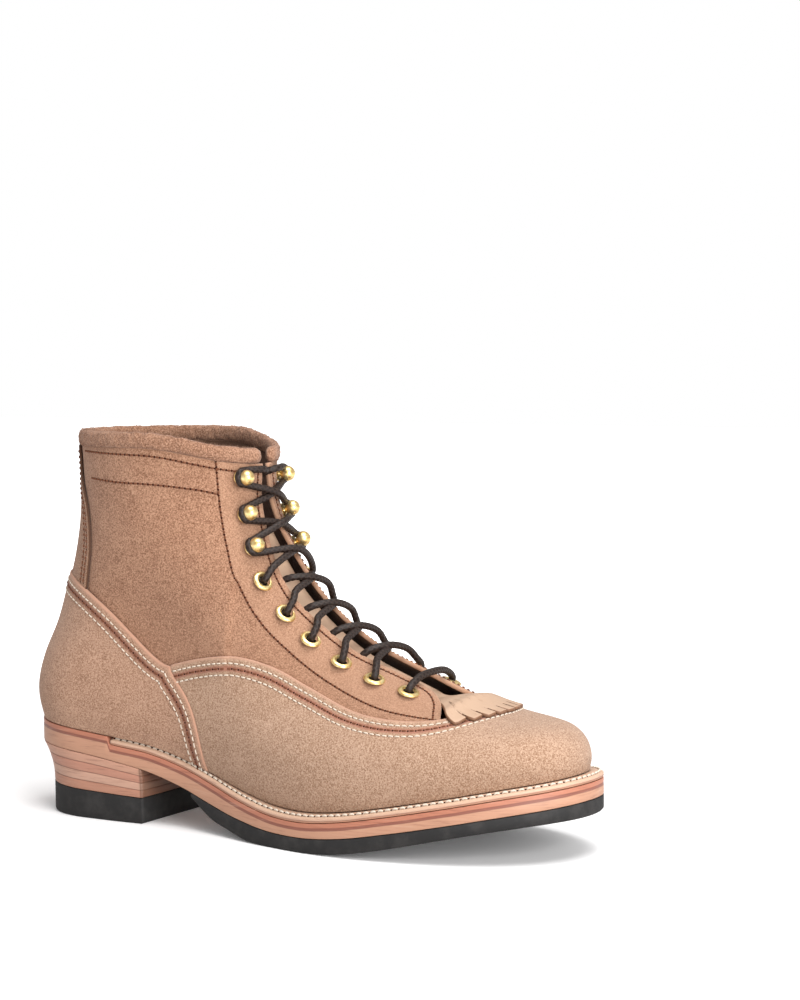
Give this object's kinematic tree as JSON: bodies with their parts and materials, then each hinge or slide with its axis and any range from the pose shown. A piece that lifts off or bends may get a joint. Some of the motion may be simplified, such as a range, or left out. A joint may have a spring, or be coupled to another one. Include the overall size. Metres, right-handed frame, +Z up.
{
  "type": "logger boot",
  "caption": "Lace-to-toe logger boot with a rough-out upper, false tongue, eyelets and hooks, leather midsole, stacked heel and rubber half sole.",
  "frame": {"origin": "middle of the heel's underside, on the plane that heel and forefoot stand on", "axes": "+X towards the toe, +Y towards the inner side of the foot, +Z up"},
  "size_m": [0.3068, 0.107, 0.192],
  "materials": {
    "rough_out": "natural tan rough-out leather with a short nap",
    "smooth_leather": "smooth undyed tan leather",
    "lining_leather": "smooth pinkish tan leather",
    "welt_leather": "light natural leather, waxed edge",
    "midsole_leather": "reddish natural sole leather, burnished edge",
    "stack_leather": "stacked sole leather lifts, burnished edge",
    "sole_rubber": "matt black rubber",
    "waxed_lace": "dark brown waxed round lace, ribbed braid",
    "brass": "polished brass"
  },
  "bodies": {
    "root": {"upper": "rough_out", "vamp": "rough_out", "counter_cover": "rough_out", "backstay": "rough_out", "collar_roll": "rough_out", "tongue": "lining_leather", "kiltie": "smooth_leather", "insole": "smooth_leather", "welt": "welt_leather", "midsole": "midsole_leather", "half_sole": "sole_rubber", "heel_stack": "stack_leather", "heel_lift": "sole_rubber", "lace_bar": "waxed_lace", "lace_hooks": "waxed_lace", "lace_crossing_1": "waxed_lace", "lace_crossing_2": "waxed_lace", "lace_crossing_3": "waxed_lace", "lace_crossing_4": "waxed_lace", "eyelet_outer_1": "brass", "eyelet_outer_2": "brass", "eyelet_outer_3": "brass", "eyelet_outer_4": "brass", "eyelet_outer_5": "brass", "eyelet_outer_6": "brass", "hook_outer_1": "brass", "hook_outer_2": "brass", "hook_outer_3": "brass", "eyelet_inner_1": "brass", "eyelet_inner_2": "brass", "eyelet_inner_3": "brass", "eyelet_inner_4": "brass", "eyelet_inner_5": "brass", "eyelet_inner_6": "brass", "hook_inner_1": "brass", "hook_inner_2": "brass", "hook_inner_3": "brass"}
  },
  "joints": []
}
